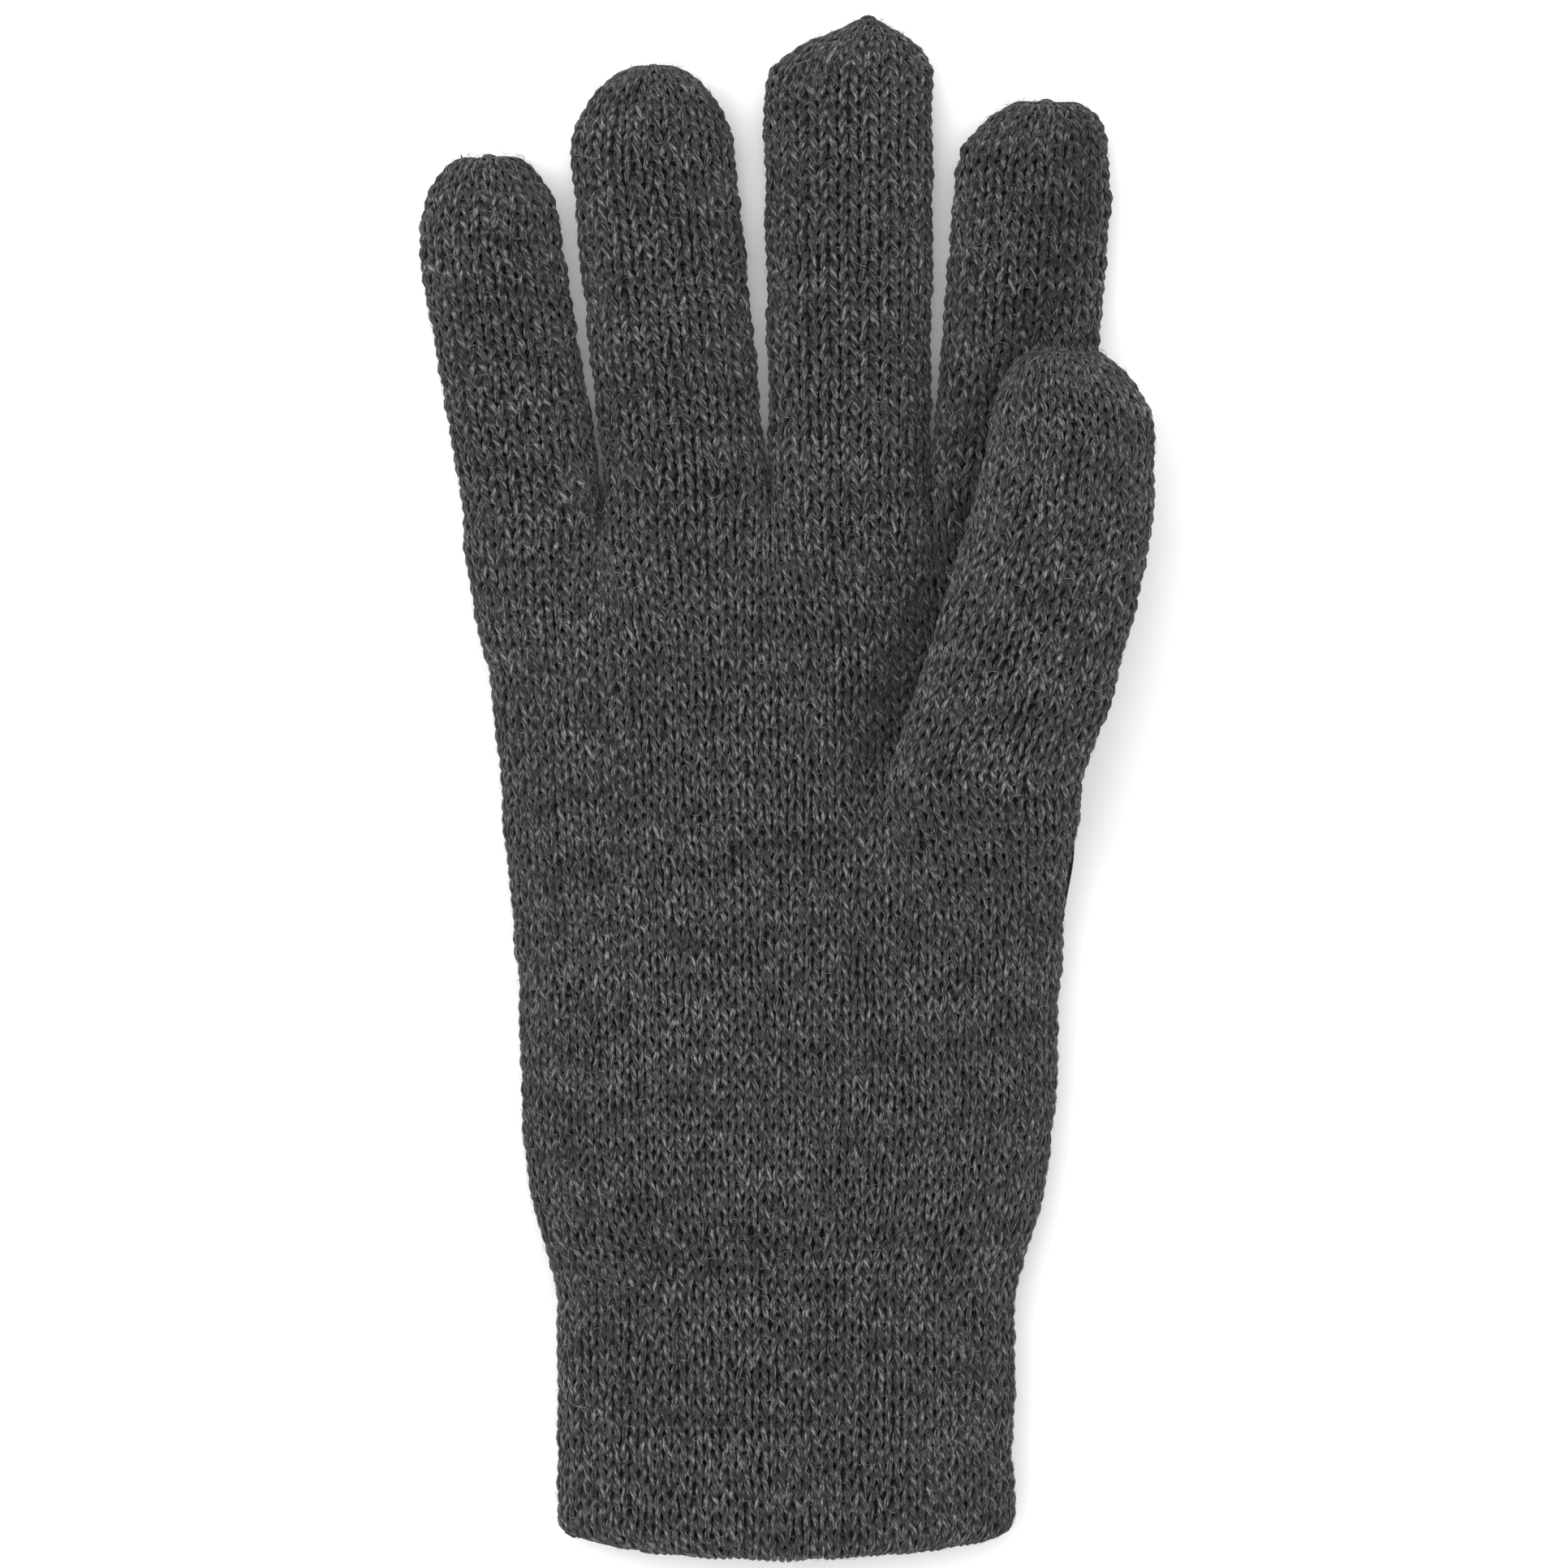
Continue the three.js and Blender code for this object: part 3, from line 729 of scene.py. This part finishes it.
def sink_crease(rows):
    """Lowers the palm along the thumb's left edge."""
    for points in rows:
        fade = smooth((HAND_TOP - points[:, 1]) / CREASE_FADE)
        points[:, 2] -= CREASE_DEPTH * beside_crease(points) * fade


thumb_raw = thumb_rows()
raise_palm(hand_raw, thumb_raw)
sink_crease(hand_raw)

CUFF_INNER_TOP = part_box("cuff_inner_layer")[1].y / MM - 1.0
HEM_FROM = -125.9  # the two layers of the cuff end here, and the fold joins them below
HEM_BOW = 4.2  # the mouth of the cuff bulges this much at its middle
HEM_RADIUS = 2.7  # the inner layer's knit lies twice this far inside the outer layer's


def cuff_ring(y, inset):
    """A ring of the cuff as rows of x, z, and how far each of its points bulges toward the mouth."""
    left, right, low, high = tube_box(y)
    box = [left + inset, right - inset, low + inset, high - inset]
    ring = full_ring(box, CUFF_SQUARENESS, CUFF_WALES)
    across = (ring[:, 0] - (left + right) / 2) / ((right - left) / 2)
    share = np.clip((y - HAND_FROM) / (HEM_FROM - HAND_FROM), 0, 1)
    return ring, HEM_BOW * share**3 * (1 - across**2)


def cuff_rows():
    """The cuff's grid: down the inner layer, round the fold at the mouth and up the outer layer."""
    course = COURSE["cuff"]
    steps = []
    inner = int(round((CUFF_INNER_TOP - HEM_FROM) / course)) * ROWS
    steps += [(mix(CUFF_INNER_TOP, HEM_FROM, k / inner), 2 * HEM_RADIUS, 0) for k in range(inner)]
    fold = 3 * ROWS
    for k in range(fold):
        angle = math.pi * k / fold
        steps.append((HEM_FROM, HEM_RADIUS * (1 + math.cos(angle)), HEM_RADIUS * math.sin(angle)))
    outer = int(round((HAND_FROM - HEM_FROM) / course)) * ROWS
    steps += [(mix(HEM_FROM, HAND_FROM, k / outer), 0, 0) for k in range(outer + 1)]
    rows = []
    for y, inset, drop in steps:
        ring, bow = cuff_ring(y, inset)
        points = with_y(ring, y - drop - bow)
        rows.append(points if inset else gather(points))
    return rows, (inner + fold) // ROWS


hand = Surface(hand_raw)
fingers = {f: Surface(finger_grids[f]) for f in FINGERS}
thumb = Surface(thumb_raw)
cuff_grid, CUFF_OUTER_FROM = cuff_rows()
cuff = Surface(cuff_grid)

# ---- materials -----------------------------------------------------------------------------------


def new_material(name):
    """A material, its node tree and its shader."""
    material = bpy.data.materials.new(name)
    material.use_nodes = True
    tree = material.node_tree
    tree.nodes.clear()
    output = tree.nodes.new("ShaderNodeOutputMaterial")
    shader = tree.nodes.new("ShaderNodeBsdfPrincipled")
    tree.links.new(shader.outputs[0], output.inputs[0])
    return material, tree, shader


def math_node(tree, operation, a, b=None, c=None):
    node = tree.nodes.new("ShaderNodeMath")
    node.operation = operation
    for socket, value in zip(node.inputs, (a, b, c)):
        if isinstance(value, (int, float)):
            socket.default_value = value
        elif value is not None:
            tree.links.new(value, socket)
    return node.outputs[0]


def ramp(tree, value, stops):
    node = tree.nodes.new("ShaderNodeValToRGB")
    elements = node.color_ramp.elements
    while len(elements) < len(stops):
        elements.new(0.5)
    for element, (position, grey) in zip(elements, stops):
        element.position = position
        element.color = (grey, grey, grey, 1)
    tree.links.new(value, node.inputs[0])
    return node.outputs[0]


def noise(tree, vector, scale, detail, roughness=0.5):
    node = tree.nodes.new("ShaderNodeTexNoise")
    node.inputs["Scale"].default_value = scale
    node.inputs["Detail"].default_value = detail
    node.inputs["Roughness"].default_value = roughness
    tree.links.new(vector, node.inputs["Vector"])
    return node.outputs["Fac"]


FIBRE_TWIST = -0.45  # radians for each millimetre of yarn
FIBRE_SPACING = (1.05, 0.6)  # how fast the fibres' noise changes round the yarn and along it
# painted shade in the grooves between the twisted plies: the colour is darker there
PLY_TWIST = -0.6
PLY_GROOVE = [(0.0, 0.4), (0.32, 1.0)]
MELANGE = [(0.34, 0.006), (0.46, 0.026), (0.55, 0.088), (0.67, 0.3)]  # from black fibres to light grey
RUN_TONES = (0.272, 0.49)  # the darkest stretch of yarn, and how much lighter the lightest one is
UNLIT = 0.25  # what the deepest yarn still shows of its colour under the painted shade


def yarn_parts(tree):
    """The three values kept at each point of a yarn: length along it, angle round it, and tone."""
    attribute = tree.nodes.new("ShaderNodeAttribute")
    attribute.attribute_name = "yarn"
    parts = tree.nodes.new("ShaderNodeSeparateXYZ")
    tree.links.new(attribute.outputs["Vector"], parts.inputs[0])
    return parts.outputs


def yarn_material(name, brightness=1.0):
    """Melange yarn: light and dark fibres that run along the yarn and turn slowly round it, darkened by
    painted shade deep in the fabric, on its flanks and in the grooves between its plies.
    """
    material, tree, shader = new_material(name)
    along, angle, tone = yarn_parts(tree)
    turn = math_node(tree, "MULTIPLY_ADD", along, FIBRE_TWIST, angle)
    around, lengthways = FIBRE_SPACING
    fibre = tree.nodes.new("ShaderNodeCombineXYZ")
    for axis, operation in enumerate(("COSINE", "SINE")):
        place = math_node(tree, "MULTIPLY", math_node(tree, operation, turn), around)
        tree.links.new(place, fibre.inputs[axis])
    tree.links.new(math_node(tree, "MULTIPLY", along, lengthways), fibre.inputs[2])
    streaks = noise(tree, fibre.outputs[0], 1.3, 3.0, 0.65)
    shade = ramp(tree, streaks, MELANGE)

    darkest, spread = (share * brightness for share in RUN_TONES)
    level = math_node(tree, "MULTIPLY_ADD", tone, spread, darkest)
    # painted shade: the colour is multiplied by the light attribute, plus UNLIT
    light = tree.nodes.new("ShaderNodeAttribute")
    light.attribute_name = "light"
    lit = math_node(tree, "ADD", light.outputs["Fac"], UNLIT)
    level = math_node(tree, "MULTIPLY", level, lit)
    # painted shade: darker in the grooves between the plies
    ply = math_node(tree, "MULTIPLY_ADD", along, PLY_TWIST, angle)
    groove = math_node(tree, "ABSOLUTE", math_node(tree, "SINE", ply))
    level = math_node(tree, "MULTIPLY", level, ramp(tree, groove, PLY_GROOVE))

    colour = tree.nodes.new("ShaderNodeMix")
    colour.data_type = "RGBA"
    colour.blend_type = "MULTIPLY"
    colour.inputs["Factor"].default_value = 1.0
    tree.links.new(shade, colour.inputs[6])
    tree.links.new(level, colour.inputs[7])
    tree.links.new(colour.outputs[2], shader.inputs["Base Color"])
    bump = tree.nodes.new("ShaderNodeBump")
    bump.inputs["Strength"].default_value = 0.8
    bump.inputs["Distance"].default_value = 0.00012
    tree.links.new(streaks, bump.inputs["Height"])
    tree.links.new(bump.outputs[0], shader.inputs["Normal"])
    shader.inputs["Roughness"].default_value = 0.9
    shader.inputs["Specular IOR Level"].default_value = 0.25
    shader.inputs["Sheen Weight"].default_value = 0.12
    shader.inputs["Sheen Roughness"].default_value = 0.5
    return material


def fibre_material():
    """Loose fibres: most are grey, some nearly white."""
    material, tree, shader = new_material("loose_fibre")
    tone = yarn_parts(tree)[2]
    shade = ramp(tree, tone, [(0.0, 0.02), (0.6, 0.07), (1.0, 0.25)])
    tree.links.new(shade, shader.inputs["Base Color"])
    shader.inputs["Roughness"].default_value = 0.8
    shader.inputs["Specular IOR Level"].default_value = 0.25
    return material


def painted_shade_material():
    """Painted shade: the tangle of fibres seen in the gaps between the loops, made nearly black."""
    material, tree, shader = new_material("knit_shade")
    place = tree.nodes.new("ShaderNodeTexCoord").outputs["Object"]
    shade = ramp(tree, noise(tree, place, 1800.0, 3.0), [(0.35, 0.004), (0.7, 0.018)])
    tree.links.new(shade, shader.inputs["Base Color"])
    shader.inputs["Roughness"].default_value = 1.0
    shader.inputs["Specular IOR Level"].default_value = 0.1
    return material


def elastic_material():
    """Covered elastic: fine wraps round a dark core."""
    material, tree, shader = new_material("covered_elastic")
    place = tree.nodes.new("ShaderNodeTexCoord").outputs["Object"]
    wave = tree.nodes.new("ShaderNodeTexWave")
    wave.inputs["Scale"].default_value = 900.0
    wave.inputs["Distortion"].default_value = 2.0
    tree.links.new(place, wave.inputs["Vector"])
    shade = ramp(tree, wave.outputs["Fac"], [(0.2, 0.012), (0.8, 0.05)])
    tree.links.new(shade, shader.inputs["Base Color"])
    shader.inputs["Roughness"].default_value = 0.6
    return material


YARN = yarn_material("melange_yarn")
# the same yarn at 0.8 of its brightness, for the knots at the tips
GATHERED = yarn_material("gathered_yarn", 0.8)
SHADE = painted_shade_material()
FIBRE = fibre_material()

# ---- pieces --------------------------------------------------------------------------------------

hand_knit = Knit(hand)
cuff_knit = Knit(cuff)
finger_knits = {f: Knit(fingers[f]) for f in FINGERS}
thumb_knit = Knit(thumb)
hand_courses = int(hand.courses)
all_wales = 2 * HAND_WALES


def add_piece(builder, name, replaced, material=YARN):
    obj = builder.make(name, [material, SHADE, FIBRE])
    if replaced:
        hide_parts(*replaced)
    return obj


WRIST_COURSES = 6  # courses of the hand that belong to the wrist's piece
CUFF_BEND = 5  # and courses of the cuff
HAND_MIDDLE = 30  # the course at which each side of the hand is divided
ROOT_END = int((THUMB_Y - 5 - HAND_FROM) / hand_step / ROWS)  # the palm's last course under the root
RISEN = 0.25  # the palm has loops of its own where the thumb's root has risen by this share


def hand_piece(name, front, first, last, replaced):
    """Courses of one side of the hand, less the palm's loops that the thumb's root stands in for."""
    builder = Builder()
    if front:
        under_thumb = range(max(first, THUMB_FROM), min(last, ROOT_END))
        clear = [course for course in range(first, last) if course not in under_thumb]
        hand_knit.lay(builder, clear, 0, HAND_WALES)
        if len(under_thumb):
            hand_knit.lay(builder, under_thumb, 0, THUMB_LEFT)
        for course in under_thumb:
            risen = np.flatnonzero(root_share(hand_level(course * ROWS)) > RISEN)
            if len(risen):
                hand_knit.lay(builder, [course], THUMB_LEFT + risen[0] // COLUMNS, HAND_WALES)
        columns = (0, HAND_WALES * COLUMNS)
    else:
        hand_knit.lay(builder, range(first, last), HAND_WALES, all_wales, BACK_FUZZ)
        columns = (HAND_WALES * COLUMNS, all_wales * COLUMNS)
    hand_knit.back(builder, (first * ROWS, last * ROWS + 1), columns, False)
    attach(add_piece(builder, name, replaced), "hand")


crotch_webs = ["little_ring_crotch_web", "ring_middle_crotch_web", "middle_index_crotch_web"]
hand_piece("palm_knit_lower", True, WRIST_COURSES, HAND_MIDDLE, [])
hand_piece("palm_knit_upper", True, HAND_MIDDLE, hand_courses, ["hand_palm_side", *crotch_webs])
hand_piece("back_knit_lower", False, WRIST_COURSES, HAND_MIDDLE, [])
hand_piece("back_knit_upper", False, HAND_MIDDLE, hand_courses, ["hand_back_side"])


def knit_ring(builder, knit, first, last, fuzz=FUZZ):
    """Whole courses round a tube, with the dark layer behind them."""
    wales = knit.surface.wales
    knit.lay(builder, range(first, last), 0, wales, fuzz)
    knit.back(builder, (first * ROWS, last * ROWS + 1), (0, wales * COLUMNS), True)


def blend_along(obj):
    """Bakes a piece's placement into its mesh."""
    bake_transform(obj)


def tube_piece(knit, name, first, last, replaced):
    """A closed length of a tube."""
    builder = Builder()
    knit_ring(builder, knit, first, last)
    blend_along(add_piece(builder, name, replaced))


def course_at(surface, y):
    """The course of a surface whose ring lies at y."""
    levels = surface.points[:, :, 1].mean(axis=1)
    return int(round(np.interp(y, levels, np.arange(len(levels))) / ROWS))


def finger_pieces(f):
    """A finger's three lengths."""
    knuckle, middle, end = (hinge(f"{f}_{part}_bend")[1] for part in ("knuckle", "middle", "tip"))
    surface = fingers[f]
    first_cut = course_at(surface, (knuckle + middle) / 2)
    second_cut = course_at(surface, (middle + end) / 2)
    lengths = [
        ("proximal", "hand", 0, first_cut, (CROTCH[f] + 0.5, CROTCH[f] + 13)),
        ("middle", f"{f}_proximal", first_cut, second_cut, (middle - 8, middle + 8)),
        ("tip", f"{f}_middle", second_cut, int(surface.courses), (end - 7, end + 7)),
    ]
    for part, before, first, last, bend in lengths:
        tube_piece(finger_knits[f], f"{f}_{part}_knit", first, last, [f"{f}_{part}_tube"])


def thumb_pieces():
    """The thumb's root, which rises out of the palm, and its two lengths beyond."""
    lift, swing, bend = (hinge(f"thumb_{part}")[1] for part in ("lift", "swing", "bend"))
    base_middle = (lift + swing) / 2
    first_cut = course_at(thumb, base_middle)
    second_cut = course_at(thumb, (swing + bend) / 2)
    closed_from = course_at(thumb, THUMB_Y - NOTCH)
    closed_columns = (0, 2 * THUMB_WALES * COLUMNS)
    root = Builder()
    thumb_knit.lay(root, range(0, closed_from), 0, THUMB_WALES)
    thumb_knit.lay(root, range(closed_from, first_cut), 0, 2 * THUMB_WALES)
    thumb_knit.back(root, (0, closed_from * ROWS + 1), (0, THUMB_WALES * COLUMNS), False)
    thumb_knit.back(root, (closed_from * ROWS, first_cut * ROWS + 1), closed_columns, True)
    obj = add_piece(root, "thumb_root_knit", ["thumb_gusset"])
    blend_along(obj)

    top = int(thumb.courses)
    lengths = [
        ("lower", "thumb_base", first_cut, second_cut, (base_middle, swing + 8), ["base", "lower"]),
        ("tip", "thumb_lower", second_cut, top, (bend - 9, bend + 9), ["tip"]),
    ]
    for part, before, first, last, bend_levels, tubes in lengths:
        replaced = [f"thumb_{tube}_tube" for tube in tubes]
        tube_piece(thumb_knit, f"thumb_{part}_knit", first, last, replaced)


def cuff_pieces():
    """The wrist, made of courses of the hand and of the cuff, and the cuff's two layers and its fold."""
    total = int(cuff.courses)
    bend_from = total - CUFF_BEND
    builder = Builder()
    knit_ring(builder, hand_knit, 0, WRIST_COURSES)
    knit_ring(builder, cuff_knit, bend_from, total)
    obj = add_piece(builder, "wrist_knit", ["wrist_gathered_band"])
    blend_along(obj)
    fold_from, fold_to = CUFF_OUTER_FROM - 3, CUFF_OUTER_FROM + 2
    for name, first, last, fuzz, replaced in (
        ("cuff_knit_inner", 0, fold_from, 0, "cuff_inner_layer"),
        ("cuff_knit_hem", fold_from, fold_to, FUZZ, "cuff_hem_fold"),
        ("cuff_knit_outer", fold_to, bend_from, FUZZ, "cuff_outer_layer"),
    ):
        builder = Builder()
        knit_ring(builder, cuff_knit, first, last, fuzz)
        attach(add_piece(builder, name, [replaced]), "cuff")


KNOT_RADIUS = (1.2, 0.7, 0.8)
KNOT_YARN = {"wide": 0.36, "deep": 0.34, "tone": 0.4}
KNOT_TURNS = 5
KNOT_SAMPLES = 90
KNOT_POLES = 0.08  # the coil starts and ends this share of a half turn away from its poles
KNOT_BELOW = 1.2  # its middle lies this far below the end of the CAD closure


def closure_piece(finger, surface):
    """The yarn's end, drawn through the last loops and darned in: a small flattened ball of turns."""
    low, high = (np.array(corner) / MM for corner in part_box(f"{finger}_tip_closure"))
    x = surface.points[-1, :, 0].mean()
    centre = np.array([x, high[1] - KNOT_BELOW, (low[2] + high[2]) / 2])
    t = np.linspace(0, 1, KNOT_SAMPLES)
    around = 2 * math.pi * KNOT_TURNS * t
    down = math.pi * (KNOT_POLES + (1 - 2 * KNOT_POLES) * t)
    unit = np.stack([np.sin(down) * np.cos(around), np.cos(down), np.sin(down) * np.sin(around)], axis=1)
    path = centre + unit * np.array(KNOT_RADIUS)
    builder = Builder()
    sweep(builder, path[None], unit[None], **{k: v * np.ones((1, len(t))) for k, v in KNOT_YARN.items()})
    obj = add_piece(builder, f"{finger}_closure_knot", [f"{finger}_tip_closure"], GATHERED)
    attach(obj, f"{finger}_tip")


for f in FINGERS:
    finger_pieces(f)
thumb_pieces()
cuff_pieces()
for f in FINGERS:
    closure_piece(f, fingers[f])
closure_piece("thumb", thumb)

elastic = elastic_material()
for name, node in frame["nodes"].items():
    if name.startswith("cuff_elastic_thread"):
        node.data.materials.clear()
        node.data.materials.append(elastic)

# ---- floor, lights and camera --------------------------------------------------------------------


FLOOR_HALF = 3.0  # metres
FLOOR_Z = -0.0006
LIGHT_TARGET = Vector((0, 0, 0.01))
PICTURE_WIDTH = 0.2687
LENS = 180.0
SENSOR = 36.0
FOCUS_HEIGHT = 0.014  # the picture's width is measured at this height


def add_floor():
    mesh = bpy.data.meshes.new("floor")
    corners = [(x * FLOOR_HALF, y * FLOOR_HALF, 0) for x, y in ((-1, -1), (1, -1), (1, 1), (-1, 1))]
    mesh.from_pydata(corners, [], [(0, 1, 2, 3)])
    floor = bpy.data.objects.new("floor", mesh)
    floor.location.z = FLOOR_Z
    bpy.context.scene.collection.objects.link(floor)
    material, tree, shader = new_material("pale_paper")
    place = tree.nodes.new("ShaderNodeTexCoord").outputs["Object"]
    shade = ramp(tree, noise(tree, place, 90.0, 2.0), [(0.0, 0.88), (1.0, 0.92)])
    tree.links.new(shade, shader.inputs["Base Color"])
    shader.inputs["Roughness"].default_value = 0.9
    mesh.materials.append(material)


def add_area_light(name, location, size, energy):
    data = bpy.data.lights.new(name, "AREA")
    data.shape = "SQUARE"
    data.size = size
    data.energy = energy
    light = bpy.data.objects.new(name, data)
    light.location = location
    light.rotation_euler = (LIGHT_TARGET - Vector(location)).to_track_quat("-Z", "Y").to_euler()
    bpy.context.scene.collection.objects.link(light)


def add_world(brightness):
    world = bpy.data.worlds.new("studio")
    world.use_nodes = True
    background = world.node_tree.nodes["Background"]
    background.inputs["Color"].default_value = (1, 1, 1, 1)
    background.inputs["Strength"].default_value = brightness
    bpy.context.scene.world = world


def add_camera():
    """Straight above the glove, with the fingers up, as far away as the picture's width needs."""
    data = bpy.data.cameras.new("camera")
    data.lens = LENS
    data.sensor_width = SENSOR
    camera = bpy.data.objects.new("camera", data)
    camera.location = (0, 0, FOCUS_HEIGHT + PICTURE_WIDTH * LENS / SENSOR)
    bpy.context.scene.collection.objects.link(camera)
    bpy.context.scene.camera = camera


add_floor()
add_area_light("overhead", (-0.2, 0.3, 1.5), 1.6, 26.0)
add_area_light("left_fill", (-1.4, 0.1, 1.0), 1.2, 10.0)
add_area_light("right_fill", (1.4, 0.1, 1.0), 1.2, 9.0)
add_world(0.65)
bpy.context.scene.view_settings.view_transform = "Standard"
add_camera()
